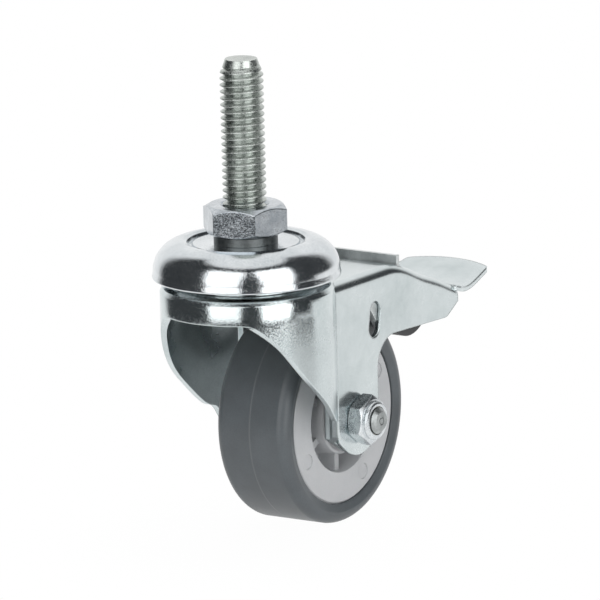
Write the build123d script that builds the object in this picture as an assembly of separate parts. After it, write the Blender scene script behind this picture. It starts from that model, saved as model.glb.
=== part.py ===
from build123d import *
from math import atan2, cos, degrees, radians, sin, sqrt
import os

# Sizes are in millimetres. Heights named ..._z are measured from the floor while the pieces are made,
# X runs from the swivel axis towards the pedal, and Y across. At the end everything moves down so
# that the origin lies on the swivel axis, at the nut's top face.

# Wheel
wheel_diameter = 48.9
tyre_width = 19.2
tread_width = 14.8
tyre_seat_diameter = 40.0
core_width = 17.8
core_ring_diameter = 25.6
core_floor_width = 5.0
hub_diameter = 17.0
hub_width = 18.6
hub_rib_count = 6
hub_rib_thickness = 1.6
tread_lock_height = 1.4
tread_lock_width = 7.0
ejector_mark_diameter = 3.6
ejector_mark_depth = 0.3
ejector_mark_circle = 32.5
ejector_mark_turn = 28.0
ejector_mark_count = 4
core_edge_chamfer = 0.5
hub_edge_chamfer = 0.4
hub_draft = 0.6
rib_set_back = 2.0
rib_overlap = 0.6
tyre_shoulder_radius = 2.6

# Axle
trail = 23.7
axle_diameter = 6.0
sleeve_diameter = 9.0
bush_wall = 1.2
bolt_end_reach = 5.9
bolt_end_diameter = 4.3
bush_flange_diameter = 12.6
bush_flange_thickness = 0.8
hub_washer_diameter = 13.0
axle_nut_across_flats = 10.0
axle_nut_hex_height = 3.7
axle_nut_height = 4.8
axle_nut_collar_diameter = 8.8
axle_nut_turn = 24.0
nut_mouth_diameter = 6.5
insert_thickness = 0.9
axle_head_height = 3.6
axle_head_turn = 12.0
bolt_end_dimple = 1.9
bolt_end_dimple_width = 0.3
bolt_end_dimple_depth = 0.2
nut_mouth_wall = 0.7
nut_collar_rounding = 0.6
insert_sink = 0.6
bush_split = 2.0

# Fork
fork_sheet = 1.35
crown_diameter = 39.2
crown_over_tyre = 10.45
crown_corner = 1.6
crown_hat_diameter = 31.0
crown_hat_rise = 3.6
crown_hole_diameter = 14.0
arch_over_tyre = 4.45
arch_end_reach = -17.2
# The legs' front edge goes through these points, X from the swivel axis and height over the axle.
front_edge = [(-14.0, 27.0), (-10.9, 23.5), (-7.5, 18.8), (-3.0, 13.4), (3.3, 7.4), (8.1, 3.1)]
front_edge_foot = (11.3, -1.6)
leg_rear_reach = 31.3
leg_rear_top = 27.0
leg_foot_drop = 2.2
back_edge_depth = 4.8
leg_top_over_tyre = 5.25
leg_end_radius = 7.9

# Swivel race
ball_diameter = 4.0
ball_circle_diameter = 22.8
ball_count = 16
groove_depth = 0.4
race_thickness = 1.2
race_diameter = 27.2
lower_race_thickness = 1.4
stem_neck_diameter = 8.0
rivet_head_diameter = 13.0
rivet_head_height = 2.0

# Stem and cap
stem_diameter = 10.0
stem_free_length = 33.0
stem_point_length = 1.4
stem_relief_depth = 0.5
stem_relief_width = 1.2
stem_point_diameter = 7.2
stem_nut_across_flats = 17.0
stem_nut_height = 6.6
stem_nut_turn = 47.1
stem_nut_bore_chamfer = 0.6
stem_washer_diameter = 14.4
stem_washer_thickness = 2.1
stem_washer_chamfer = 0.3
cap_diameter = 42.6
cap_sheet = 1.2
cap_rim_gap = 1.5
cap_skirt_height = 1.6
cap_shoulder_radius = 6.8
cap_flare = 0.3
cap_crown_fall = 0.35
cap_rim_rounding = 0.4
cap_disc_diameter = 23.8
cap_groove_width = 1.4
cap_groove_depth = 0.5

# Brake pedal
pedal_sheet = 1.2
pedal_fold_radius = 2.2
pedal_top_over_tyre = 7.95
pedal_level_reach = 37.0
pedal_bend_reach = 50.6
pedal_swing = 8.0
pedal_pivot_diameter = 8.8
pedal_foot_radius = 8.3
pedal_rear_reach = 31.6
pedal_rear_fillet = 7.0
pedal_skirt_root_rise = 17.0
pedal_skirt_rise = 16.05
pedal_skirt_reach = 60.2
pedal_heel_reach = 65.0
pedal_heel_rise = 18.9
pedal_front_rise = -3.0
pedal_front_reach = 14.3
tread_width_across = 27.0
tread_neck_reach = 66.2
tread_side_reach = 81.2
tread_end_width = 22.0
tread_end_reach = 83.9
tread_end_rise = 24.1
tread_start_reach = 64.4
tread_corner_radius = 1.2
pedal_heel_radius = 3.0
pedal_bend_fall = 4.2
pedal_slope_reach = 59.0
pedal_slope_fall = 7.4
pedal_valley_reach = 66.8
pedal_valley_fall = 10.5
slot_width = 4.2
slot_height = 8.2
slot_reach = 30.8
slot_rise = 21.5
slot_lean = 10.0

# Brake leaf and block
leaf_sheet = 1.0
leaf_lip_reach = 42.8
leaf_lip_height = 1.4
leaf_slide = 1.5
leaf_nose_reach = 14.8
leaf_bend_reach = 31.5
leaf_valley_reach = 38.0
leaf_valley_depth = 2.6
leaf_valley_rise = 1.4
leaf_bend_radius = 1.0
leaf_wide_reach = 28.9
tab_depth = 0.4
flange_front = 29.4
flange_front_rise = 24.9
flange_foot = 34.1
flange_foot_rise = 18.5
flange_foot_length = 2.0
flange_rear = 38.5
block_front = 29.0
block_half_width = 8.0
block_gap_pressed = 0.3
block_toe_rise = 18.0
block_lobe_reach = 52.9
block_lobe_rise = 21.2
block_lobe_radius = 8.5
block_shoulder_reach = 57.0
block_shoulder_drop = 3.4
block_top_drop = 0.2
block_rivet_diameter = 2.4
block_rivet_head = 4.2
block_rivet_head_height = 0.5
block_rivet_depth = 0.9
block_rivet_reaches = (31.0, 35.5)

# Clearances
slide_gap = 0.10
running_gap = 0.05
side_gap = 0.10
tyre_side_gap = 1.20
hub_side_gap = 0.15
crown_gap = 0.40
leaf_gap = 0.40
slot_gap = 0.30
slit_gap = 0.35

# Values that follow
wheel_radius = wheel_diameter / 2
axle_z = wheel_radius
tyre_top_z = wheel_diameter
leg_inner = tyre_width / 2 + tyre_side_gap
leg_outer = leg_inner + fork_sheet
skirt_inner = leg_outer + side_gap
skirt_outer = skirt_inner + pedal_sheet
crown_radius = crown_diameter / 2
ball_radius = ball_diameter / 2
shelf_z = tyre_top_z + crown_over_tyre
hat_z = shelf_z + crown_hat_rise
upper_ball_z = hat_z - groove_depth + ball_radius
upper_race_z = upper_ball_z + ball_radius - groove_depth
cap_under_z = upper_race_z + race_thickness
disc_z = cap_under_z + cap_sheet
washer_top_z = disc_z + stem_washer_thickness
seat_z = washer_top_z + stem_nut_height
lower_ball_z = hat_z - fork_sheet + groove_depth - ball_radius
lower_race_top_z = lower_ball_z - ball_radius + groove_depth
lower_race_z = lower_race_top_z - lower_race_thickness
back_edge_z = shelf_z - back_edge_depth
leg_top_z = tyre_top_z + leg_top_over_tyre
join_x = sqrt((crown_radius - fork_sheet) ** 2 - leg_outer ** 2)
pedal_top_z = tyre_top_z + pedal_top_over_tyre
tread_end_z = axle_z + tread_end_rise
beyond = 2 * skirt_outer
hair = 0.01


def side_face(*points):
    """A flat face in the XZ plane through these (x, z) points."""
    return Plane.XZ * make_face(Polyline(*points, close=True))


def across(face, low, high):
    """Pushes a face of the XZ plane across, from y = low to y = high."""
    return Pos(0, low, 0) * extrude(face, high - low, dir=(0, 1, 0))


def turned(points):
    """Turns an (r, z) outline about the swivel axis."""
    return revolve(side_face(*points), Axis.Z)


def rod(radius, low, high, x=trail, z=axle_z):
    """A round bar along Y, from y = low to y = high."""
    return Pos(x, low, z) * (Rot(-90, 0, 0) * Cylinder(radius, high - low, align=BASE))


def ring(outer, inner, low, high, x=trail, z=axle_z):
    return rod(outer, low, high, x, z) - rod(inner, low - 1, high + 1, x, z)


BASE = (Align.CENTER, Align.CENTER, Align.MIN)


def hexagon_bar(across_flats, height, turn, chamfer_low=True):
    """A hexagon along Z from z = 0, its corners rounded off by 30 degree chamfers."""
    corner = across_flats / sqrt(3)
    fall = (corner - across_flats / 2 * 0.95) * 0.58
    bar = extrude(RegularPolygon(corner, 6, rotation=turn), height)
    foot = [(across_flats / 2 * 0.95, 0), (corner + 0.01, fall)] if chamfer_low else [(corner + 0.01, 0)]
    outline = [(0, 0), *foot, (corner + 0.01, height - fall), (across_flats / 2 * 0.95, height), (0, height)]
    return bar & turned(outline)


def ball_groove(z):
    """The ring that a row of balls sweeps out, with its running gap."""
    section = Plane.XZ * (Pos(ball_circle_diameter / 2, z) * Circle(ball_radius + running_gap))
    return revolve(section, Axis.Z)


def ball_row(z, turn):
    row = []
    for i in range(ball_count):
        angle = turn + 360 / ball_count * i
        row.append(Rot(0, 0, angle) * Pos(ball_circle_diameter / 2, 0, z) * Sphere(ball_radius))
    return Compound(children=row)


# Stem, nut, washer and cap
def threaded_stem():
    top = seat_z + stem_free_length
    r = stem_diameter / 2
    head = rivet_head_diameter / 2
    low = lower_race_z - rivet_head_height
    neck = stem_neck_diameter / 2
    relief = r - stem_relief_depth
    return turned([
        (0, low), (head * 0.6, low), (head, low + rivet_head_height * 0.6), (head, lower_race_z),
        (neck, lower_race_z), (neck, lower_race_top_z), (r, lower_race_top_z),
        (r, seat_z - stem_relief_width), (relief, seat_z - stem_relief_width + 0.2),
        (relief, seat_z - 0.2), (r, seat_z),
        (r, top - stem_point_length), (stem_point_diameter / 2, top), (0, top),
    ])


def stem_nut():
    nut = Pos(0, 0, washer_top_z) * hexagon_bar(stem_nut_across_flats, stem_nut_height, stem_nut_turn)
    r = stem_diameter / 2
    bore = turned([
        (0, washer_top_z - 1), (r, washer_top_z - 1), (r, seat_z - stem_nut_bore_chamfer),
        (r + stem_nut_bore_chamfer, seat_z), (0, seat_z + hair),
    ])
    return nut - bore


def stem_washer():
    r = stem_washer_diameter / 2
    return turned([
        (stem_diameter / 2, disc_z), (r, disc_z), (r, washer_top_z - stem_washer_chamfer),
        (r - stem_washer_chamfer, washer_top_z),
        (stem_diameter / 2, washer_top_z),
    ])


def cap_outline(inset):
    """Outer (inset 0) or inner outline of the cap, from the rim up to the crest."""
    rim_z = shelf_z + cap_rim_gap
    rim = cap_diameter / 2 - inset
    waist = rim - cap_flare
    centre_r = cap_diameter / 2 - cap_flare - cap_shoulder_radius
    arc_r = cap_shoulder_radius - inset
    centre_z = rim_z + cap_skirt_height
    bend = arc_r * sqrt(0.5)
    skirt = Line((rim, rim_z), (waist, centre_z))
    middle = (centre_r + bend, centre_z + bend)
    shoulder = ThreePointArc((waist, centre_z), middle, (centre_r, centre_z + arc_r))
    return rim, rim_z, centre_r, centre_z + arc_r, [skirt, shoulder]


def top_cap():
    rim, rim_z, crest_r, crest_z, edge = cap_outline(0)
    disc = cap_disc_diameter / 2
    groove_z = disc_z - cap_groove_depth
    top = Polyline(
        (crest_r, crest_z), (disc + cap_groove_width, crest_z - cap_crown_fall),
        (disc + cap_groove_width - 0.25, groove_z),
        (disc + 0.25, groove_z), (disc, disc_z), (0, disc_z), (0, rim_z), (rim, rim_z),
    )
    outer = revolve(Plane.XZ * make_face(edge + [top]), Axis.Z)
    rim, rim_z, inner_r, inner_z, edge = cap_outline(cap_sheet)
    under = Polyline(
        (inner_r, inner_z), (race_diameter / 2 + running_gap, cap_under_z), (0, cap_under_z), (0, rim_z),
        (rim, rim_z),
    )
    inner = revolve(Plane.XZ * make_face(edge + [under]), Axis.Z)
    cap = outer - inner - Pos(0, 0, cap_under_z - 1) * Cylinder(stem_diameter / 2, 9, align=BASE)
    edges = cap.edges().filter_by(GeomType.CIRCLE).group_by(Axis.Z)[0]
    return fillet(edges, cap_rim_rounding)


# Swivel race
def upper_race():
    plate = turned([
        (stem_diameter / 2, upper_race_z), (race_diameter / 2, upper_race_z),
        (race_diameter / 2, cap_under_z), (stem_diameter / 2, cap_under_z),
    ])
    return plate - ball_groove(upper_ball_z)


def lower_race():
    plate = turned([
        (stem_neck_diameter / 2, lower_race_z), (race_diameter / 2 - 0.6, lower_race_z),
        (race_diameter / 2, lower_race_z + 0.6), (race_diameter / 2, lower_race_top_z),
        (stem_neck_diameter / 2, lower_race_top_z),
    ])
    return plate - ball_groove(lower_ball_z)


# Fork
def leg_outline():
    """Side outline of the fork's sheet: front arch, sloping front edges and round lower ends."""
    arch_z = tyre_top_z + arch_over_tyre
    far = -crown_diameter
    foot = (front_edge_foot[0], axle_z + front_edge_foot[1])
    start = (arch_end_reach, arch_z)
    between = [(x, axle_z + rise) for x, rise in front_edge]
    slope = Spline(start, *between, foot, tangents=[(1, -0.02), (0.35, -1)])
    rest = Polyline(
        foot, (trail - leg_end_radius * 0.75, axle_z - leg_end_radius * 0.70),
        (trail, axle_z - leg_end_radius), (leg_rear_reach, axle_z - leg_foot_drop),
        (leg_rear_reach, shelf_z), (far, shelf_z), (far, arch_z), start,
    )
    legs = make_face([slope, rest])
    return Plane.XZ * (legs + Pos(trail, axle_z) * Circle(leg_end_radius))


def fork():
    r = crown_radius
    s = fork_sheet
    hat = crown_hat_diameter / 2
    bend = s * 0.9
    ease = crown_corner * 0.3
    crown = turned([
        (r - s, 0), (r, 0), (r, shelf_z - crown_corner), (r - ease, shelf_z - ease),
        (r - crown_corner, shelf_z), (hat, shelf_z), (hat, hat_z - bend), (hat - bend, hat_z),
        (crown_hole_diameter / 2, hat_z), (crown_hole_diameter / 2, hat_z - s),
        (hat - s - bend * 0.5, hat_z - s), (hat - s, hat_z - s - bend * 0.5), (hat - s, shelf_z - s),
        (r - s, shelf_z - s),
    ])
    crown -= Pos(r, 0, 0) * Box(2 * r, 2 * leg_inner, back_edge_z, align=BASE)
    plate = side_face(
        (join_x, 0), (leg_rear_reach, 0), (leg_rear_reach, axle_z + leg_end_radius),
        (leg_rear_top, leg_top_z), (join_x, leg_top_z),
    )
    sheet = crown + across(plate, leg_inner, leg_outer) + across(plate, -leg_outer, -leg_inner)
    blank = Plane.XZ * (Pos(0, shelf_z / 2 - 4) * Rectangle(4 * r, shelf_z + 2))
    sheet -= across(blank - leg_outline(), -1.5 * r, 1.5 * r)
    sheet -= ball_groove(upper_ball_z)
    sheet -= ball_groove(lower_ball_z)
    return sheet - rod(axle_diameter / 2 + slide_gap, -r, r)


# Wheel
def wheel_core():
    seat = tyre_seat_diameter / 2
    half = core_width / 2
    lock = tread_lock_width / 2
    floor = core_floor_width / 2
    hub = hub_width / 2
    bore = sleeve_diameter / 2 + bush_wall
    ring_r = core_ring_diameter / 2
    profile = [
        (bore, hub), (hub_diameter / 2 - hub_edge_chamfer, hub), (hub_diameter / 2, hub - hub_edge_chamfer),
        (hub_diameter / 2 + hub_draft, floor), (ring_r - hub_draft, floor), (ring_r, half),
        (seat - core_edge_chamfer, half), (seat, half - core_edge_chamfer),
        (seat, lock), (seat + tread_lock_height, lock - 0.5),
    ]
    mirrored = [(r, -y) for r, y in reversed(profile)]
    turn = revolve(make_face(Polyline(*profile, *mirrored, close=True)), Axis.Y)
    core = Pos(trail, 0, axle_z) * turn
    span = ring_r - hub_diameter / 2 + 2 * rib_overlap
    for i in range(hub_rib_count):
        angle = 360 / hub_rib_count * (i + 0.5)
        rib = Box(span, core_width - 2 * rib_set_back, hub_rib_thickness)
        rib = Pos(hub_diameter / 2 - rib_overlap + span / 2, 0, 0) * rib
        core += Pos(trail, 0, axle_z) * Rot(0, angle, 0) * rib
    core -= rod(bore, -hub, hub)
    for i in range(ejector_mark_count):
        angle = radians(ejector_mark_turn + 360 / ejector_mark_count * i)
        x = trail + ejector_mark_circle / 2 * cos(angle)
        z = axle_z + ejector_mark_circle / 2 * sin(angle)
        core -= rod(ejector_mark_diameter / 2, -half - 1, -half + ejector_mark_depth, x, z)
    return core


def tyre():
    seat = tyre_seat_diameter / 2
    half = tyre_width / 2
    tread = tread_width / 2
    lock = tread_lock_width / 2
    shoulder = ThreePointArc(
        (wheel_radius, tread), (wheel_radius - 0.8, half - 0.65),
        (wheel_radius - tyre_shoulder_radius, half),
    )
    side = Polyline(
        (wheel_radius - tyre_shoulder_radius, half), (seat + 0.25, core_width / 2 + 0.25),
        (seat, core_width / 2 + 0.1), (seat, lock),
        (seat + tread_lock_height, lock - 0.5), (seat + tread_lock_height, 0),
    )
    right = Curve() + [Line((wheel_radius, 0), (wheel_radius, tread)), shoulder, side]
    face = make_face(right + Line((wheel_radius, 0), (seat + tread_lock_height, 0)))
    half_tyre = revolve(face, Axis.Y)
    return Pos(trail, 0, axle_z) * (half_tyre + mirror(half_tyre, Plane.XZ))


def wheel_bush(side):
    inner = sleeve_diameter / 2 + running_gap
    face_y = hub_width / 2
    low, high = sorted((side * bush_split / 2, side * face_y))
    tube = ring(sleeve_diameter / 2 + bush_wall, inner, low, high)
    low, high = sorted((side * face_y, side * (face_y + bush_flange_thickness)))
    return tube + ring(bush_flange_diameter / 2, inner, low, high)


def hub_washer(side):
    face_y = hub_width / 2 + bush_flange_thickness + hub_side_gap
    low, high = sorted((side * face_y, side * leg_inner))
    return ring(hub_washer_diameter / 2, sleeve_diameter / 2, low, high)


def axle_sleeve():
    return ring(sleeve_diameter / 2, axle_diameter / 2 + slide_gap, -leg_inner, leg_inner)


# Axle bolt and nut, through the pedal's pivot rings
nut_base = skirt_outer + side_gap


def pedal_bush(side):
    low, high = sorted((side * leg_outer, side * nut_base))
    return ring(pedal_pivot_diameter / 2, axle_diameter / 2 + slide_gap, low, high)


def axle_bolt():
    r = axle_diameter / 2
    end = nut_base + bolt_end_reach
    taper = r - bolt_end_diameter / 2
    outline = side_face((0, -nut_base), (r, -nut_base), (r, end - taper), (r - taper, end), (0, end))
    shank = Pos(trail, 0, axle_z) * Rot(90, 0, 0) * revolve(outline, Axis.Z)
    dimple = bolt_end_dimple / 2
    ring_mark = ring(dimple, dimple - bolt_end_dimple_width, -end - 1, -end + bolt_end_dimple_depth)
    head_turn = Pos(trail, nut_base, axle_z) * Rot(-90, 0, 0)
    head = hexagon_bar(axle_nut_across_flats, axle_head_height, axle_head_turn, chamfer_low=False)
    return shank + head_turn * head - ring_mark


def axle_nut():
    turn = Pos(trail, -nut_base, axle_z) * Rot(90, 0, 0)
    body = hexagon_bar(axle_nut_across_flats, axle_nut_hex_height, axle_nut_turn)
    collar = axle_nut_collar_diameter / 2
    soft = nut_collar_rounding
    sunk = axle_nut_hex_height - insert_sink
    lip = revolve(side_face(
        (0, axle_nut_hex_height - 1), (collar, axle_nut_hex_height - 1), (collar, axle_nut_height - soft),
        (collar - soft * 0.3, axle_nut_height - soft * 0.3), (collar - soft, axle_nut_height),
        (0, axle_nut_height),
    ), Axis.Z)
    seat = Pos(0, 0, sunk) * Cylinder(collar - nut_mouth_wall, insert_thickness, align=BASE)
    mouth = Pos(0, 0, sunk) * Cylinder(nut_mouth_diameter / 2, axle_nut_height, align=BASE)
    bore = Cylinder(axle_diameter / 2, 4 * axle_nut_height)
    return turn * (body + lip - seat - mouth - bore)


def axle_nut_insert():
    turn = Pos(trail, -nut_base, axle_z) * Rot(90, 0, 0)
    outer = axle_nut_collar_diameter / 2 - nut_mouth_wall
    disc = Pos(0, 0, axle_nut_hex_height - insert_sink) * Cylinder(outer, insert_thickness, align=BASE)
    return turn * (disc - Cylinder(axle_diameter / 2, 4 * axle_nut_height))


# Brake pedal
def pedal_top_line(drop):
    """Side view of the pedal's top surface, lowered by drop."""
    top = pedal_top_z - drop
    level = Line((0, top), (pedal_level_reach, top))
    fall = Spline(
        (pedal_level_reach, top), (pedal_bend_reach, top - pedal_bend_fall),
        (pedal_slope_reach, top - pedal_slope_fall), (pedal_valley_reach, top - pedal_valley_fall),
        (tread_end_reach + 1, tread_end_z - drop), tangents=[(1, 0), (1, 0.12)],
    )
    return level, fall


def band(drop, low_z):
    """Side face between the lowered top line and a level line."""
    level, fall = pedal_top_line(drop)
    end = tread_end_reach + 1
    rest = Polyline((end, tread_end_z - drop), (end, low_z), (0, low_z), (0, (level @ 0).Y))
    return Plane.XZ * make_face([level, fall, rest])


def folds(body, half):
    """The long upper edges of a band, at y = -half and y = half."""
    side = body.edges().filter_by(lambda e: abs(abs(e.center().Y) - half) < hair)
    return [e for e in side if e.center().Z > axle_z and e.bounding_box().size.Z < axle_z]


def pedal_skirt_outline():
    """Side outline of the pedal's skirts, with its corners rounded."""
    root_z = axle_z + pedal_skirt_root_rise
    skirt_z = axle_z + pedal_skirt_rise
    heel_z = axle_z + pedal_heel_rise
    foot_z = axle_z - pedal_foot_radius
    over = tyre_top_z + crown_over_tyre
    face = make_face(Polyline(
        (pedal_front_reach - 1, over), (pedal_front_reach - 1, axle_z),
        (pedal_front_reach, axle_z + pedal_front_rise),
        (trail - pedal_foot_radius * 0.70, axle_z - pedal_foot_radius * 0.72), (trail, foot_z),
        (pedal_rear_reach, axle_z), (pedal_rear_reach, root_z), (pedal_skirt_reach, skirt_z),
        (pedal_heel_reach, heel_z), (pedal_heel_reach, over), close=True,
    ))
    face += Pos(trail, axle_z) * Circle(pedal_foot_radius)
    inner = face.vertices().sort_by_distance((pedal_rear_reach, root_z))[0]
    face = fillet(inner, pedal_rear_fillet)
    heel = face.vertices().sort_by_distance((pedal_skirt_reach, skirt_z))[0]
    return fillet(heel, pedal_heel_radius)


def brake_pedal():
    skirts = Plane.XZ * pedal_skirt_outline()
    outer = across(band(0, 0), -skirt_outer, skirt_outer)
    outer = fillet(folds(outer, skirt_outer), pedal_fold_radius)
    inner = across(band(pedal_sheet, -1), -skirt_inner, skirt_inner)
    inner = fillet(folds(inner, skirt_inner), pedal_fold_radius - pedal_sheet)
    saddle = (outer - inner) & across(skirts, -skirt_outer, skirt_outer)
    tread_half = tread_width_across / 2
    plate = across(band(0, 0), -tread_half, tread_half) - across(band(pedal_sheet, -1), -beyond, beyond)
    end_half = tread_end_width / 2
    side = [(tread_side_reach, end_half), (tread_neck_reach, tread_half), (tread_start_reach, tread_half)]
    plan = make_face([
        Polyline(*side, *[(x, -y) for x, y in reversed(side)]),
        ThreePointArc((tread_side_reach, -end_half), (tread_end_reach, 0), (tread_side_reach, end_half)),
    ])
    tread = plate & extrude(plan, pedal_top_z, dir=(0, 0, 1))
    corners = [e for e in tread.edges().filter_by(Axis.Z) if e.center().X > tread_neck_reach + hair]
    tread = fillet(corners, tread_corner_radius) if corners else tread
    pedal = saddle + tread
    crown = Cylinder(crown_radius + crown_gap, 4 * wheel_diameter)
    pedal -= crown
    pedal -= Pos(trail, 0, axle_z) * Rot(0, -pedal_swing, 0) * Pos(-trail, 0, -axle_z) * crown
    slot = SlotOverall(slot_height, slot_width, rotation=90 - slot_lean)
    pedal -= across(Plane.XZ * (Pos(slot_reach, axle_z + slot_rise) * slot), -beyond, beyond)
    slit = Box(leaf_sheet + 2 * slit_gap, 2 * (leaf_half + slit_gap), 6 * pedal_sheet)
    pedal -= Pos(leaf_lip_reach, 0, pedal_top_z) * slit
    return pedal - rod(pedal_pivot_diameter / 2 + running_gap, -beyond, beyond)


# Brake leaf, which slides in the pedal's slots, and its block
leaf_half = skirt_inner - 2 * side_gap
leaf_neck = leg_inner - 2 * side_gap
slot_up = (sin(radians(slot_lean)), cos(radians(slot_lean)))
slide = (-leaf_slide * slot_up[0], -leaf_slide * slot_up[1])


def leaf_path():
    """Side view of the leaf's middle surface, from its nose to its upturned lip."""
    lip_z = pedal_top_z + leaf_lip_height
    low = back_edge_z - leaf_gap - leaf_sheet / 2
    return [
        (leaf_nose_reach, low), (leaf_bend_reach, low), (leaf_valley_reach, low - leaf_valley_depth),
        (leaf_lip_reach, low - leaf_valley_depth + leaf_valley_rise), (leaf_lip_reach, lip_z),
    ]


def flange_outline():
    top = leaf_path()
    return make_face(Polyline(
        (flange_front, top[1][1]), (flange_front, axle_z + flange_front_rise),
        (flange_foot, axle_z + flange_foot_rise),
        (flange_foot + flange_foot_length, axle_z + flange_foot_rise),
        (flange_rear, top[2][1]), (top[1][0], top[1][1]), close=True,
    ))


def rivet_seat(x):
    """Height of the leaf's top at a rivet and its lean there, in degrees."""
    fall = leaf_valley_depth / (leaf_valley_reach - leaf_bend_reach)
    lean = atan2(fall, 1) if x > leaf_bend_reach else 0.0
    z = leaf_path()[1][1] + leaf_sheet / 2 / cos(lean) - fall * max(0.0, x - leaf_bend_reach)
    return z, degrees(lean)


def rivet_hole(x):
    """The round hole that a rivet fills, from its blind end up past its head."""
    z, lean = rivet_seat(x)
    depth = leaf_sheet + block_rivet_depth
    return Pos(x, 0, z - depth) * Cylinder(block_rivet_diameter / 2, 2 * depth, align=BASE)


def brake_plate():
    path = FilletPolyline(*leaf_path(), radius=leaf_bend_radius)
    strip = across(Plane.XZ * trace(path, leaf_sheet), -leaf_half, leaf_half)
    tall = 4 * wheel_diameter
    wide = Box(leaf_lip_reach, 2 * leaf_half, tall, align=(Align.MIN, Align.CENTER, Align.CENTER))
    narrow = Box(2 * leaf_wide_reach, 2 * leaf_neck, tall)
    leaf = strip & (Pos(leaf_wide_reach, 0, 0) * wide + narrow)
    outline = flange_outline()
    guide = SlotOverall(slot_height - 2 * slot_gap, slot_width - 2 * slot_gap, rotation=90 - slot_lean)
    guide = Pos(slot_reach, axle_z + slot_rise) * guide
    tab = Plane.XZ * (guide & outline)
    for side in (-1, 1):
        low, high = sorted((side * (leaf_half - leaf_sheet), side * leaf_half))
        leaf += across(Plane.XZ * outline, low, high)
        low, high = sorted((side * leaf_half, side * (skirt_inner + tab_depth)))
        leaf += across(tab, low, high)
    for x in block_rivet_reaches:
        leaf -= rivet_hole(x)
    return leaf


def brake_block():
    path = leaf_path()
    centre = (trail - slide[0], axle_z - slide[1])
    r = wheel_radius + block_gap_pressed
    toe_z = axle_z + block_toe_rise
    lobe = (block_lobe_reach, axle_z + block_lobe_rise)
    lobe_rear = block_lobe_reach + block_lobe_radius
    outline = make_face(Polyline(
        (block_front, path[1][1]), path[1], path[2], (leaf_lip_reach, path[2][1] - block_top_drop),
        (block_shoulder_reach, path[2][1] - block_shoulder_drop), (lobe_rear, lobe[1]),
        (block_lobe_reach, lobe[1]), (block_lobe_reach, toe_z), (block_front, toe_z), close=True,
    ))
    below = Rectangle(4 * block_lobe_radius, 2 * block_lobe_radius)
    below = Pos(block_lobe_reach, lobe[1] - block_lobe_radius) * below
    outline += (Pos(*lobe) * Circle(block_lobe_radius)) & below
    outline -= Pos(*centre) * Circle(r)
    outline -= trace(FilletPolyline(*path, radius=leaf_bend_radius), leaf_sheet)
    outline = outline.faces().sort_by(SortBy.AREA)[-1]
    block = across(Plane.XZ * outline, -block_half_width, block_half_width)
    for x in block_rivet_reaches:
        block -= rivet_hole(x)
    return block


def block_rivets():
    """Two rivets through leaf and block, heads on the leaf and flush ends in the block."""
    rivets = []
    for x in block_rivet_reaches:
        z, lean = rivet_seat(x)
        head = Cylinder(block_rivet_head / 2, block_rivet_head_height, align=BASE)
        head = Pos(x, 0, z) * Rot(0, lean, 0) * head
        depth = leaf_sheet + block_rivet_depth
        shank = Cylinder(block_rivet_diameter / 2, depth + block_rivet_head_height / 2, align=BASE)
        rivets.append(head + Pos(x, 0, z - depth) * shank)
    return Compound(children=rivets)


parts = {
    "threaded_stem": threaded_stem(),
    "stem_nut": stem_nut(),
    "stem_washer": stem_washer(),
    "top_cap": top_cap(),
    "upper_race": upper_race(),
    "lower_race": lower_race(),
    "upper_balls": ball_row(upper_ball_z, 0.0),
    "lower_balls": ball_row(lower_ball_z, 180.0 / ball_count),
    "fork": fork(),
    "wheel_core": wheel_core(),
    "tyre": tyre(),
    "axle_sleeve": axle_sleeve(),
    "axle_bolt": axle_bolt(),
    "axle_nut": axle_nut(),
    "axle_nut_insert": axle_nut_insert(),
    "brake_pedal": brake_pedal(),
    "brake_plate": brake_plate(),
    "brake_block": brake_block(),
    "block_rivets": block_rivets(),
}
for name, side in (("near", -1), ("far", 1)):
    parts["wheel_bush_" + name] = wheel_bush(side)
    parts["hub_washer_" + name] = hub_washer(side)
    parts["pedal_bush_" + name] = pedal_bush(side)

os.makedirs("parts", exist_ok=True)
for name, part in parts.items():
    export_step(Pos(0, 0, -seat_z) * part, f"parts/{name}.step")
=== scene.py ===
import bpy
import math
from mathutils import Matrix, Vector


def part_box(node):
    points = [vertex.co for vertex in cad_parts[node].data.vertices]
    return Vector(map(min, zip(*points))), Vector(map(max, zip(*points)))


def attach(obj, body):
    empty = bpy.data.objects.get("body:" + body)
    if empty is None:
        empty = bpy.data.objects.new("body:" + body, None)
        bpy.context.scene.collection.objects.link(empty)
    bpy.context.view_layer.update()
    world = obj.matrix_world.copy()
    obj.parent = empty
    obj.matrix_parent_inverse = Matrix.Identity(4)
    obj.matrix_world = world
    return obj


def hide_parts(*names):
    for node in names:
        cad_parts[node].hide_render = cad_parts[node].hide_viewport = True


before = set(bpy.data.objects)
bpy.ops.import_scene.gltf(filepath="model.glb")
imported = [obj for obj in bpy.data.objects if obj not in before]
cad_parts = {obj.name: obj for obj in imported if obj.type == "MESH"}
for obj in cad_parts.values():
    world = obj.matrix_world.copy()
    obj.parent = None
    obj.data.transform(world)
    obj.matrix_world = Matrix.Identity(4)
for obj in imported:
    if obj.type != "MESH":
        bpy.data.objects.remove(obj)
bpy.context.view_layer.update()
MM = 0.001

# Level directions in the photo's view: from the castor towards the camera, and to the right of the picture.
TO_CAMERA = Vector((-0.825, -0.565, 0.0))
IMAGE_RIGHT = Vector((0.565, -0.825, 0.0))

# Turned pieces: their facets round the axis, the distance under which two vertices are one, and the angle
# between two faces up to which they are shaded as one smooth surface.
ROUND_STEPS = 72
WELD = 0.002 * MM
SMOOTH_ANGLE = math.radians(38)
# The height in millimetres where the stem's thread ends, inside its nut, and the plain shank goes on.
THREAD_FOOT = -1.2


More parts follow.
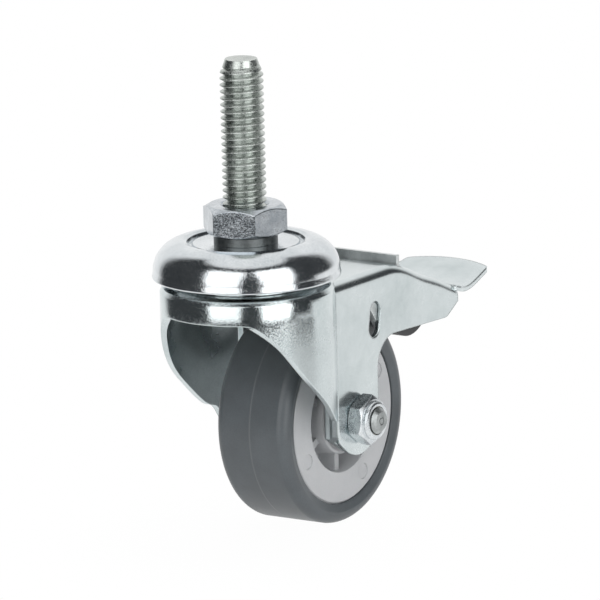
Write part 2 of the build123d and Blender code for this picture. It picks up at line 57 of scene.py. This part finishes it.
def make_camera():
    """A long lens a little above the castor, as in a catalogue picture."""
    target = Vector((6.64, -9.69, -22.45)) * MM
    turn = math.radians(-55.6)
    rise = math.radians(12.6)
    roll = math.radians(-1.5)
    distance = 2.4
    sensor_mm = 36.0
    picture_pixels = 600
    pixels_per_mm = 4.47
    back = Vector((math.sin(turn) * math.cos(rise), -math.cos(turn) * math.cos(rise), math.sin(rise)))
    data = bpy.data.cameras.new("castor_camera")
    data.sensor_width = sensor_mm
    data.lens = sensor_mm * distance / (picture_pixels / pixels_per_mm * MM)
    data.clip_start = 0.05
    data.clip_end = 30.0
    camera = bpy.data.objects.new("castor_camera", data)
    bpy.context.scene.collection.objects.link(camera)
    camera.location = target + back * distance
    camera.rotation_mode = "QUATERNION"
    facing = (-back).to_track_quat("-Z", "Y")
    camera.rotation_quaternion = facing @ Matrix.Rotation(roll, 3, "Z").to_quaternion()
    bpy.context.scene.camera = camera


def linear(code):
    """An sRGB hex colour as a linear one."""
    out = []
    for i in (0, 2, 4):
        value = int(code[i:i + 2], 16) / 255
        out.append(value / 12.92 if value <= 0.04045 else ((value + 0.055) / 1.055) ** 2.4)
    return (*out, 1.0)


def add(tree, kind, settings=None, inputs=None):
    """Adds a node: settings are its own properties, inputs are values or the sockets that feed it.

    Sockets that share a name are given by number. In a Mix node 0 is the share of the second input, 2 and 3
    are the two numbers, and 6 and 7 the two colours.
    """
    node = tree.nodes.new(kind)
    for name, value in (settings or {}).items():
        setattr(node, name, value)
    for name, value in (inputs or {}).items():
        socket = node.inputs[name]
        if isinstance(value, bpy.types.NodeSocket):
            tree.links.new(value, socket)
        else:
            socket.default_value = value
    return node


def empty_material(name):
    """A material without nodes, its tree, and the object coordinates that its patterns are laid out on."""
    material = bpy.data.materials.new(name)
    material.use_nodes = True
    tree = material.node_tree
    tree.nodes.clear()
    return material, tree, add(tree, "ShaderNodeTexCoord").outputs["Object"]


def zinc_plate(name, light, dark, rough, cloud_mm, grain_mm, grain_depth_mm, edge_mm, sparkle,
               shoulder_mm=0.0):
    """Electroplated zinc: faint clouds of tone, a fine crystalline grain, and edges that the plating rounds.

    The clouds keep a broad reflection from looking computed. The grain breaks up its outline, and sparkle
    says how much duller the dull crystals are, which speckle the dark between two windows. The rounded edges
    catch the light as thin lines. Real crystals are a few hundredths of a millimetre wide, too fine to show
    in the render, so they are drawn about ten times as coarse, and deeper on the brightest pieces.

    On the fork, shoulder_mm is how far the pressing draws the crown's wall in towards its top, where the die
    also polishes it: the windows' reflections reach down the wall and end softly, and the legs below stay
    satin and show no speckle.
    """
    crown_top_mm, wall_foot_mm = -18.0, -23.8
    polish_ends_mm, legs_begin_mm = -23.0, -30.0
    polished_share, plate_relief, leg_relief = 0.38, 0.4, 0.04
    material, tree, place = empty_material(name)
    cloud = add(tree, "ShaderNodeTexNoise", inputs={
        "Vector": place, "Scale": 1 / (cloud_mm * MM), "Detail": 3.0, "Roughness": 0.6,
    }).outputs["Fac"]
    grain = add(tree, "ShaderNodeTexNoise", inputs={
        "Vector": place, "Scale": 1 / (grain_mm * MM), "Detail": 3.0, "Roughness": 0.65,
    }).outputs["Fac"]
    tone = add(tree, "ShaderNodeMix", {"data_type": "FLOAT"}, {0: 0.4, 2: cloud, 3: grain}).outputs[0]
    tone = add(tree, "ShaderNodeMapRange", inputs={
        "Value": tone, "From Min": 0.35, "From Max": 0.62,
    }).outputs[0]
    colour = add(tree, "ShaderNodeMix", {"data_type": "RGBA"}, {
        0: tone, 6: linear(dark), 7: linear(light),
    }).outputs[2]
    facets = add(tree, "ShaderNodeMapRange", inputs={
        "Value": grain, "From Min": 0.44, "From Max": 0.62,
        "To Min": 1 - 0.3 * sparkle, "To Max": 1 + sparkle,
    }).outputs[0]
    strength = plate_relief
    normal = add(tree, "ShaderNodeBevel", {"samples": 8}, {"Radius": edge_mm * MM}).outputs[0]
    if shoulder_mm:
        height = add(tree, "ShaderNodeSeparateXYZ", inputs={0: place}).outputs["Z"]
        rise = add(tree, "ShaderNodeMapRange", inputs={
            "Value": height, "From Min": wall_foot_mm * MM, "From Max": crown_top_mm * MM,
        }).outputs[0]
        drawn_in = add(tree, "ShaderNodeMath", {"operation": "MULTIPLY"}, {0: rise, 1: rise}).outputs[0]
        normal = add(tree, "ShaderNodeBump", {"invert": True}, {
            "Height": drawn_in, "Strength": 1.0, "Distance": shoulder_mm * MM, "Normal": normal,
        }).outputs[0]
        crown = add(tree, "ShaderNodeMapRange", inputs={
            "Value": height, "From Min": legs_begin_mm * MM, "From Max": polish_ends_mm * MM,
        }).outputs[0]
        facets = add(tree, "ShaderNodeMix", {"data_type": "FLOAT"}, {
            0: crown, 2: 1.0, 3: facets,
        }).outputs[0]
        satin = add(tree, "ShaderNodeMapRange", inputs={
            "Value": crown, "To Min": 1.0, "To Max": polished_share,
        }).outputs[0]
        facets = add(tree, "ShaderNodeMath", {"operation": "MULTIPLY"}, {0: facets, 1: satin}).outputs[0]
        strength = add(tree, "ShaderNodeMapRange", inputs={
            "Value": crown, "To Min": leg_relief, "To Max": plate_relief,
        }).outputs[0]
    even = add(tree, "ShaderNodeMapRange", inputs={
        "Value": cloud, "From Min": 0.3, "From Max": 0.7, "To Min": rough * 0.8, "To Max": rough * 1.15,
    }).outputs[0]
    polish = add(tree, "ShaderNodeMath", {"operation": "MULTIPLY"}, {0: even, 1: facets}).outputs[0]
    relief = add(tree, "ShaderNodeBump", inputs={
        "Height": grain, "Strength": strength, "Distance": grain_depth_mm * MM, "Normal": normal,
    }).outputs[0]
    shader = add(tree, "ShaderNodeBsdfPrincipled", inputs={
        "Base Color": colour, "Metallic": 1.0, "Roughness": polish, "Normal": relief,
    })
    add(tree, "ShaderNodeOutputMaterial", inputs={"Surface": shader.outputs[0]})
    return material


def moulded_plastic(name, light, dark, rough, ior, grain_mm, grain_depth_mm, edge_mm):
    """Injection-moulded plastic: an even colour with slow flow clouds and the eroded grain of its mould.

    The grain dulls the highlights, and the edges are as soft as the mould's. A spark-eroded mould leaves
    pits about 0.05 mm wide, too fine to show in the render, so they are drawn at 0.25 to 0.3 mm.
    """
    flow_mm = 7.0
    material, tree, place = empty_material(name)
    flow = add(tree, "ShaderNodeTexNoise", inputs={
        "Vector": place, "Scale": 1 / (flow_mm * MM), "Detail": 3.0, "Roughness": 0.55,
    }).outputs["Fac"]
    grain = add(tree, "ShaderNodeTexNoise", inputs={
        "Vector": place, "Scale": 1 / (grain_mm * MM), "Detail": 4.0, "Roughness": 0.7,
    }).outputs["Fac"]
    tone = add(tree, "ShaderNodeMix", {"data_type": "FLOAT"}, {0: 0.5, 2: flow, 3: grain}).outputs[0]
    tone = add(tree, "ShaderNodeMapRange", inputs={
        "Value": tone, "From Min": 0.35, "From Max": 0.65,
    }).outputs[0]
    colour = add(tree, "ShaderNodeMix", {"data_type": "RGBA"}, {
        0: tone, 6: linear(dark), 7: linear(light),
    }).outputs[2]
    matt = add(tree, "ShaderNodeMapRange", inputs={
        "Value": grain, "From Min": 0.3, "From Max": 0.7, "To Min": rough * 0.88, "To Max": rough * 1.12,
    }).outputs[0]
    rounded = add(tree, "ShaderNodeBevel", {"samples": 8}, {"Radius": edge_mm * MM}).outputs[0]
    relief = add(tree, "ShaderNodeBump", inputs={
        "Height": grain, "Strength": 0.5, "Distance": grain_depth_mm * MM, "Normal": rounded,
    }).outputs[0]
    shader = add(tree, "ShaderNodeBsdfPrincipled", inputs={
        "Base Color": colour, "Roughness": matt, "IOR": ior, "Normal": relief,
    })
    add(tree, "ShaderNodeOutputMaterial", inputs={"Surface": shader.outputs[0]})
    return material


def moulded_tread_rubber():
    """Soft grey thermoplastic rubber, moulded round the core in two halves.

    Its mould's fine erosion makes it matt with a faint sparkle, and dust lies in the grain as paler specks.
    The two halves leave a thin pale parting line round the middle of the tread. The real grain and line are
    about 0.05 mm wide, too fine to show in the render, so the grain is drawn at 0.3 mm and the line fades
    out over a quarter of a millimetre on each side.
    """
    cloud_mm, grain_mm, grain_depth_mm = 8.0, 0.3, 0.022
    line_mm, line_fades_mm, line_height_mm, line_paleness = 0.05, 0.28, 0.06, 0.45
    worn_edge_mm = 0.4
    material, tree, place = empty_material("soft_rubber_moulded_in_two_halves")
    cloud = add(tree, "ShaderNodeTexNoise", inputs={
        "Vector": place, "Scale": 1 / (cloud_mm * MM), "Detail": 3.0, "Roughness": 0.55,
    }).outputs["Fac"]
    grain = add(tree, "ShaderNodeTexNoise", inputs={
        "Vector": place, "Scale": 1 / (grain_mm * MM), "Detail": 4.0, "Roughness": 0.7,
    }).outputs["Fac"]
    tone = add(tree, "ShaderNodeMix", {"data_type": "FLOAT"}, {0: 0.5, 2: cloud, 3: grain}).outputs[0]
    tone = add(tree, "ShaderNodeMapRange", inputs={
        "Value": tone, "From Min": 0.35, "From Max": 0.65,
    }).outputs[0]
    colour = add(tree, "ShaderNodeMix", {"data_type": "RGBA"}, {
        0: tone, 6: linear("53585b"), 7: linear("5e6468"),
    }).outputs[2]
    across = add(tree, "ShaderNodeSeparateXYZ", inputs={0: place}).outputs["Y"]
    off_middle = add(tree, "ShaderNodeMath", {"operation": "ABSOLUTE"}, {0: across}).outputs[0]
    parting = add(tree, "ShaderNodeMapRange", inputs={
        "Value": off_middle, "From Min": line_mm * MM, "From Max": line_fades_mm * MM,
        "To Min": 1.0, "To Max": 0.0,
    }).outputs[0]
    pale = add(tree, "ShaderNodeMath", {"operation": "MULTIPLY"}, {0: parting, 1: line_paleness}).outputs[0]
    colour = add(tree, "ShaderNodeMix", {"data_type": "RGBA"}, {
        0: pale, 6: colour, 7: linear("77797b"),
    }).outputs[2]
    rounded = add(tree, "ShaderNodeBevel", {"samples": 8}, {"Radius": worn_edge_mm * MM}).outputs[0]
    relief = add(tree, "ShaderNodeBump", inputs={
        "Height": grain, "Strength": 0.5, "Distance": grain_depth_mm * MM, "Normal": rounded,
    }).outputs[0]
    relief = add(tree, "ShaderNodeBump", inputs={
        "Height": parting, "Strength": 0.6, "Distance": line_height_mm * MM, "Normal": relief,
    }).outputs[0]
    matt = add(tree, "ShaderNodeMapRange", inputs={
        "Value": grain, "From Min": 0.3, "From Max": 0.7, "To Min": 0.33, "To Max": 0.44,
    }).outputs[0]
    shader = add(tree, "ShaderNodeBsdfPrincipled", inputs={
        "Base Color": colour, "Roughness": matt, "IOR": 1.5, "Normal": relief,
    })
    add(tree, "ShaderNodeOutputMaterial", inputs={"Surface": shader.outputs[0]})
    return material


def give(material, *nodes):
    """Gives these CAD pieces their material."""
    for name in nodes:
        for slot in bpy.data.objects[name].material_slots:
            slot.material = material


def drawn_outline(name, points):
    """An open line in the XZ plane, drawn point by point through these (radius, height) in millimetres.

    It leaves the piece in edit mode, ready to be turned.
    """
    seed_size = 0.01 * MM
    start = (points[0][0] * MM, 0, points[0][1] * MM)
    bpy.ops.object.select_all(action="DESELECT")
    bpy.ops.mesh.primitive_plane_add(size=seed_size, location=start)
    bpy.ops.object.transform_apply(location=True, rotation=True, scale=True)
    piece = bpy.context.object
    piece.name = name
    bpy.ops.object.mode_set(mode="EDIT")
    bpy.ops.mesh.select_all(action="SELECT")
    bpy.ops.mesh.merge(type="CENTER")
    for before, after in zip(points, points[1:]):
        step = ((after[0] - before[0]) * MM, 0, (after[1] - before[1]) * MM)
        bpy.ops.mesh.extrude_region_move(TRANSFORM_OT_translate={"value": step})
    return piece


def turned_piece(name, points):
    """A closed turned body: its outline runs from the axis round to the axis again."""
    piece = drawn_outline(name, points)
    bpy.ops.mesh.select_all(action="SELECT")
    bpy.ops.mesh.spin(steps=ROUND_STEPS, angle=math.tau, center=(0, 0, 0), axis=(0, 0, 1))
    bpy.ops.mesh.select_all(action="SELECT")
    bpy.ops.mesh.remove_doubles(threshold=WELD)
    bpy.ops.mesh.normals_make_consistent(inside=False)
    bpy.ops.object.mode_set(mode="OBJECT")
    return piece


def stem_thread():
    """The M10 x 1.5 rolled thread: rounded crests and narrower roots, cut flat at its foot inside the nut.

    At the top it is turned to a flat-ended point, which the crests grow out of.
    """
    pitch, major, minor = 1.5, 4.93, 4.0
    top, foot = 33.0, THREAD_FOOT
    spare_at_ends = 0.5
    outside = major + 0.3
    taper_starts, taper_bends, bend_radius, end_radius = top - 3.9, top - 1.6, 4.15, 3.6
    tooth = [
        (minor, 0.00), (minor + 0.04, 0.15), (minor + 0.16, 0.26), (major - 0.14, 0.60),
        (major - 0.03, 0.69), (major, 0.79), (major - 0.03, 0.89), (major - 0.14, 0.98),
        (minor + 0.16, 1.32), (minor + 0.04, 1.42), (minor, pitch),
    ]
    thread = drawn_outline("stem_thread", [(r, foot - 2 * pitch + z) for r, z in tooth])
    bpy.ops.object.mode_set(mode="OBJECT")
    winding = thread.modifiers.new("winding", "SCREW")
    winding.axis = "Z"
    winding.steps = ROUND_STEPS
    winding.render_steps = ROUND_STEPS
    winding.screw_offset = pitch * MM
    winding.iterations = int((top - foot) / pitch) + 4
    winding.use_merge_vertices = True
    winding.merge_threshold = WELD
    bpy.ops.object.modifier_apply(modifier="winding")
    bpy.ops.object.mode_set(mode="EDIT")
    for height, above in ((top + spare_at_ends, True), (foot - spare_at_ends, False)):
        bpy.ops.mesh.select_all(action="SELECT")
        bpy.ops.mesh.bisect(
            plane_co=(0, 0, height * MM), plane_no=(0, 0, 1), clear_outer=above, clear_inner=not above,
            use_fill=True,
        )
    bpy.ops.mesh.select_all(action="SELECT")
    bpy.ops.mesh.remove_doubles(threshold=WELD)
    bpy.ops.mesh.normals_make_consistent(inside=False)
    bpy.ops.object.mode_set(mode="OBJECT")
    point = turned_piece("stem_point", [
        (0.0, foot), (outside, foot), (outside, taper_starts), (bend_radius, taper_bends),
        (end_radius, top), (0.0, top),
    ])
    bpy.ops.object.select_all(action="DESELECT")
    thread.select_set(True)
    bpy.context.view_layer.objects.active = thread
    turning = thread.modifiers.new("turning", "BOOLEAN")
    turning.operation = "INTERSECT"
    turning.solver = "EXACT"
    turning.object = point
    bpy.ops.object.modifier_apply(modifier="turning")
    bpy.data.objects.remove(point)
    bpy.ops.object.shade_smooth_by_angle(angle=SMOOTH_ANGLE)
    return thread


def stem_shank():
    """The plain shank from the nut down through cap and races to the head riveted under the lower race."""
    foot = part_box("threaded_stem")[0][2] / MM
    race_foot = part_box("lower_race")[0][2] / MM
    race_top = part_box("lower_race")[1][2] / MM
    top, body, neck, head, head_flat = THREAD_FOOT, 5.0, 4.0, 6.5, 3.9
    shank = turned_piece("stem_shank", [
        (0.0, top), (body - 0.6, top), (body, top - 0.4), (body, race_top), (neck, race_top),
        (neck, race_foot), (head, race_foot), (head, race_foot - 0.8), (head - 0.3, race_foot - 1.3),
        (head - 1.1, race_foot - 1.7), (head_flat, foot), (0.0, foot),
    ])
    bpy.ops.object.select_all(action="DESELECT")
    shank.select_set(True)
    bpy.context.view_layer.objects.active = shank
    bpy.ops.object.shade_smooth_by_angle(angle=SMOOTH_ANGLE)
    return shank


def softbox(name, turn_degrees, rise_degrees, distance, width, height, watts):
    """A soft rectangular lamp aimed at the fork, its place turned from the camera's towards the right."""
    fork_middle = Vector((10, 0, -30)) * MM
    turn = math.radians(turn_degrees)
    rise = math.radians(rise_degrees)
    way = (TO_CAMERA * math.cos(turn) + IMAGE_RIGHT * math.sin(turn)) * math.cos(rise)
    way.z = math.sin(rise)
    data = bpy.data.lights.new(name, "AREA")
    data.shape = "RECTANGLE"
    data.size = width
    data.size_y = height
    data.energy = watts
    light = bpy.data.objects.new(name, data)
    bpy.context.scene.collection.objects.link(light)
    light.location = fork_middle + way * distance
    light.rotation_euler = (-way).to_track_quat("-Z", "Y").to_euler()


def burnt_white_paper():
    """White uncoated paper, faintly fibrous, which takes the castor's soft shadow and burns out away from it.

    The eye and the bright metal see it burnt out, and the light that it scatters stays that of plain paper.
    Single fibres are too fine to show in the render, so they are drawn as faint flocks 1.5 mm wide.
    """
    shadow_mm, burnt_from_mm, burnt_in_shadow, fibre_mm = 30, 95, 0.88, 1.5
    material, tree, place = empty_material("white_paper_sweep")
    rays = add(tree, "ShaderNodeLightPath").outputs
    seen = add(tree, "ShaderNodeMath", {"operation": "MAXIMUM"}, {
        0: rays["Is Camera Ray"], 1: rays["Is Glossy Ray"],
    }).outputs[0]
    seen = add(tree, "ShaderNodeMath", {"operation": "MAXIMUM"}, {
        0: seen, 1: rays["Is Transmission Ray"],
    }).outputs[0]
    away = add(tree, "ShaderNodeVectorMath", {"operation": "LENGTH"}, {0: place}).outputs["Value"]
    burnt = add(tree, "ShaderNodeMapRange", {"interpolation_type": "SMOOTHSTEP"}, {
        "Value": away, "From Min": shadow_mm * MM, "From Max": burnt_from_mm * MM,
        "To Min": burnt_in_shadow, "To Max": 1.0,
    }).outputs[0]
    share = add(tree, "ShaderNodeMath", {"operation": "MULTIPLY"}, {0: seen, 1: burnt}).outputs[0]
    fibre = add(tree, "ShaderNodeTexNoise", inputs={
        "Vector": place, "Scale": 1 / (fibre_mm * MM), "Detail": 2.0,
    }).outputs["Fac"]
    shade = add(tree, "ShaderNodeMix", {"data_type": "RGBA"}, {
        0: fibre, 6: linear("f2f2f2"), 7: linear("f8f8f8"),
    }).outputs[2]
    plain = add(tree, "ShaderNodeBsdfDiffuse", inputs={"Color": shade}).outputs[0]
    glow = add(tree, "ShaderNodeEmission", inputs={"Color": linear("ffffff"), "Strength": 1.0}).outputs[0]
    mixed = add(tree, "ShaderNodeMixShader", inputs={0: share, 1: plain, 2: glow}).outputs[0]
    add(tree, "ShaderNodeOutputMaterial", inputs={"Surface": mixed})
    return material


def paper_sheet(name, material, front, back, left, right):
    """A sheet of paper just under the tyre.

    It reaches this many metres towards the camera, behind the castor and to either side.
    """
    under_tyre = 0.02 * MM
    floor_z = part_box("tyre")[0][2] - under_tyre
    middle = TO_CAMERA * (front - back) / 2 + IMAGE_RIGHT * (right - left) / 2
    turn = math.atan2(TO_CAMERA.y, TO_CAMERA.x)
    bpy.ops.object.select_all(action="DESELECT")
    bpy.ops.mesh.primitive_plane_add(
        size=1.0, location=(middle.x, middle.y, floor_z), rotation=(0, 0, turn),
    )
    sheet = bpy.context.object
    sheet.name = name
    sheet.scale = (front + back, left + right, 1)
    bpy.ops.object.transform_apply(location=True, rotation=True, scale=True)
    sheet.data.materials.append(material)


def studio_room():
    """White walls behind, a white ceiling, and a dim room in front, which the metal shows as dark bands."""
    # How far a direction points towards the camera, from 1 to -1, where the white wall ends and the dim
    # room is full, and how far upwards the dim room ends and the white ceiling is full.
    wall_ends, room_full = -0.77, -0.57
    room_ends, ceiling_full = 0.86, 0.90
    world = bpy.data.worlds.new("studio_room")
    bpy.context.scene.world = world
    world.use_nodes = True
    tree = world.node_tree
    tree.nodes.clear()
    way = add(tree, "ShaderNodeTexCoord").outputs["Generated"]
    level = add(tree, "ShaderNodeVectorMath", {"operation": "MULTIPLY"}, {0: way, 1: (1, 1, 0)}).outputs[0]
    level = add(tree, "ShaderNodeVectorMath", {"operation": "NORMALIZE"}, {0: level}).outputs[0]
    front = add(tree, "ShaderNodeVectorMath", {"operation": "DOT_PRODUCT"}, {
        0: level, 1: TO_CAMERA,
    }).outputs["Value"]
    front = add(tree, "ShaderNodeMapRange", inputs={
        "Value": front, "From Min": wall_ends, "From Max": room_full,
    }).outputs[0]
    up = add(tree, "ShaderNodeSeparateXYZ", inputs={0: way}).outputs["Z"]
    below_ceiling = add(tree, "ShaderNodeMapRange", inputs={
        "Value": up, "From Min": room_ends, "From Max": ceiling_full, "To Min": 1.0, "To Max": 0.0,
    }).outputs[0]
    dark = add(tree, "ShaderNodeMath", {"operation": "MULTIPLY"}, {0: front, 1: below_ceiling}).outputs[0]
    room = add(tree, "ShaderNodeMix", {"data_type": "RGBA"}, {
        0: dark, 6: linear("ffffff"), 7: linear("404244"),
    }).outputs[2]
    dim = add(tree, "ShaderNodeBackground", inputs={"Color": room, "Strength": 1.0}).outputs[0]
    white = add(tree, "ShaderNodeBackground", inputs={
        "Color": linear("ffffff"), "Strength": 1.0,
    }).outputs[0]
    seen = add(tree, "ShaderNodeLightPath").outputs["Is Camera Ray"]
    mixed = add(tree, "ShaderNodeMixShader", inputs={0: seen, 1: dim, 2: white}).outputs[0]
    add(tree, "ShaderNodeOutputWorld", inputs={"Surface": mixed})


make_camera()

# Zinc with a faint yellow passivate over rolled threads: a warmer grey, satin enough to join the highlights.
stem_zinc = zinc_plate(
    "zinc_plate_on_rolled_thread", light="d4d9d5", dark="a1a7a2", rough=0.31, cloud_mm=5.0,
    grain_mm=0.35, grain_depth_mm=0.006, edge_mm=0.06, sparkle=0.6,
)
# Bright zinc on a cold-formed hexagon: flats with a sparkling orange peel and thin bright corners.
nut_zinc = zinc_plate(
    "bright_zinc_on_cold_formed_nut", light="cbd0d4", dark="9aa1a7", rough=0.13, cloud_mm=5.0,
    grain_mm=0.40, grain_depth_mm=0.045, edge_mm=0.30, sparkle=1.0,
)
# The same plate on the small axle nut, more satin than the stem's nut, with its base paled as a painted
# highlight for the light that its facets show.
axle_nut_zinc_paled_as_highlight = zinc_plate(
    "axle_nut_zinc_painted_highlight", light="e6eaec", dark="bcc2c6", rough=0.28, cloud_mm=3.0,
    grain_mm=0.30, grain_depth_mm=0.008, edge_mm=0.25, sparkle=0.3,
)
# Zinc on the bolt's cut and peened end, and on the brake block's rivets: dull grey, darkened as painted shade
# for the dark ring inside the nut's collar.
bolt_zinc_darkened_as_shade = zinc_plate(
    "zinc_on_bolt_end_painted_shade", light="b8bcbc", dark="858989", rough=0.36, cloud_mm=2.0,
    grain_mm=0.30, grain_depth_mm=0.010, edge_mm=0.15, sparkle=0.3,
)
# Zinc on a stamped washer, dulled by the tumbling that took its burrs off, and darkened as painted shade for
# the shadow under the nut.
washer_zinc_darkened_as_shade = zinc_plate(
    "washer_zinc_painted_shade", light="8e9292", dark="6a6e6e", rough=0.45, cloud_mm=3.0,
    grain_mm=0.30, grain_depth_mm=0.005, edge_mm=0.25, sparkle=0.3,
)
# Bright zinc on the pressed fork: polished and speckled round the crown, and pale satin down the legs.
fork_zinc = zinc_plate(
    "bright_zinc_on_pressed_fork", light="d9e1e2", dark="c1cacb", rough=0.30, cloud_mm=11.0,
    grain_mm=0.42, grain_depth_mm=0.050, edge_mm=0.35, sparkle=1.0, shoulder_mm=0.7,
)
# The same plate on the folded pedal: even and pale, with generously rounded folds.
pedal_zinc = zinc_plate(
    "bright_zinc_on_folded_pedal", light="d8dfe0", dark="bfc8c9", rough=0.22, cloud_mm=11.0,
    grain_mm=0.25, grain_depth_mm=0.004, edge_mm=0.9, sparkle=0.2,
)
# Zinc on rolled spring strip: matt, and paled as a painted highlight, so that its lip and its sheared edge in
# the slot show light.
leaf_zinc_paled_as_highlight = zinc_plate(
    "spring_strip_zinc_painted_highlight", light="f0f3f3", dark="c8cdcd", rough=0.55, cloud_mm=4.0,
    grain_mm=0.30, grain_depth_mm=0.006, edge_mm=0.30, sparkle=0.3,
)
# Zinc over a drawn and polished dome: the sharpest mirror on the castor, with a fine speckle.
cap_zinc = zinc_plate(
    "polished_zinc_on_drawn_cap", light="e2e6e8", dark="c2c8cc", rough=0.12, cloud_mm=12.0,
    grain_mm=0.42, grain_depth_mm=0.055, edge_mm=0.20, sparkle=1.0,
)
# Hardened and ground steel in grease: dark, with dull soft highlights.
race_steel = zinc_plate(
    "greased_hardened_steel", light="a8a8a2", dark="6a6a66", rough=0.30, cloud_mm=4.0,
    grain_mm=0.40, grain_depth_mm=0.004, edge_mm=0.10, sparkle=0.3,
)
# Natural nylon: milky cream, softly glossy where it grips the thread.
nylon = moulded_plastic(
    "natural_nylon_moulding", light="e4e2d6", dark="cfcdbf", rough=0.42, ior=1.53,
    grain_mm=0.3, grain_depth_mm=0.004, edge_mm=0.1,
)
# Natural acetal: whiter and slicker than nylon.
acetal = moulded_plastic(
    "natural_acetal_moulding", light="eceae2", dark="dcdad2", rough=0.35, ior=1.48,
    grain_mm=0.3, grain_depth_mm=0.003, edge_mm=0.1,
)
# Grey polypropylene: an even pale grey with a satin mould finish.
core_grey = moulded_plastic(
    "grey_polypropylene_moulding", light="cbccce", dark="c1c3c5", rough=0.42, ior=1.49,
    grain_mm=0.25, grain_depth_mm=0.005, edge_mm=0.25,
)
# Hard charcoal rubber: dark grey and matt, with the deepest mould grain of the plastics; the dark grey is
# also painted shade for the shadow under the pedal where the block sits.
block_rubber_dark_with_painted_shade = moulded_plastic(
    "dark_hard_rubber_with_painted_shade", light="4a4b4c", dark="3e3f40", rough=0.55, ior=1.52,
    grain_mm=0.3, grain_depth_mm=0.010, edge_mm=0.4,
)
tread_rubber = moulded_tread_rubber()

thread = stem_thread()
shank = stem_shank()
for piece in (thread, shank):
    piece.data.materials.clear()
    piece.data.materials.append(stem_zinc)
    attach(piece, "stem")
    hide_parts("threaded_stem")

give(nut_zinc, "stem_nut")
give(axle_nut_zinc_paled_as_highlight, "axle_nut")
give(bolt_zinc_darkened_as_shade, "axle_bolt", "block_rivets")
give(washer_zinc_darkened_as_shade, "stem_washer")
give(fork_zinc, "fork")
give(pedal_zinc, "brake_pedal")
give(leaf_zinc_paled_as_highlight, "brake_plate")
give(cap_zinc, "top_cap")
give(race_steel, "upper_race", "lower_race", "upper_balls", "lower_balls", "axle_sleeve", "hub_washer_near",
     "hub_washer_far", "pedal_bush_near", "pedal_bush_far")
give(nylon, "axle_nut_insert")
give(acetal, "wheel_bush_near", "wheel_bush_far")
give(core_grey, "wheel_core")
give(tread_rubber, "tyre")
give(block_rubber_dark_with_painted_shade, "brake_block")

# The bright metal mirrors the floor round the castor. Past the front edge of the sheet under it, and between
# that sheet and the card at the right, it mirrors the dim room instead, which keeps the crown's flanks dark.
white_paper = burnt_white_paper()
paper_sheet("paper_sweep", white_paper, front=-0.02, back=5.0, left=0.20, right=4.0)
paper_sheet("paper_under_castor", white_paper, front=0.17, back=0.02, left=0.20, right=0.215)
paper_sheet("paper_card_at_right", white_paper, front=0.17, back=0.02, left=-0.28, right=0.42)
studio_room()
softbox(
    "left_softbox", turn_degrees=-30.5, rise_degrees=20.5, distance=1.1, width=0.9, height=1.2, watts=6.0,
)
softbox(
    "right_softbox", turn_degrees=38.5, rise_degrees=20.5, distance=1.1, width=0.85, height=1.2, watts=7.5,
)
bpy.context.scene.view_settings.view_transform = "Standard"
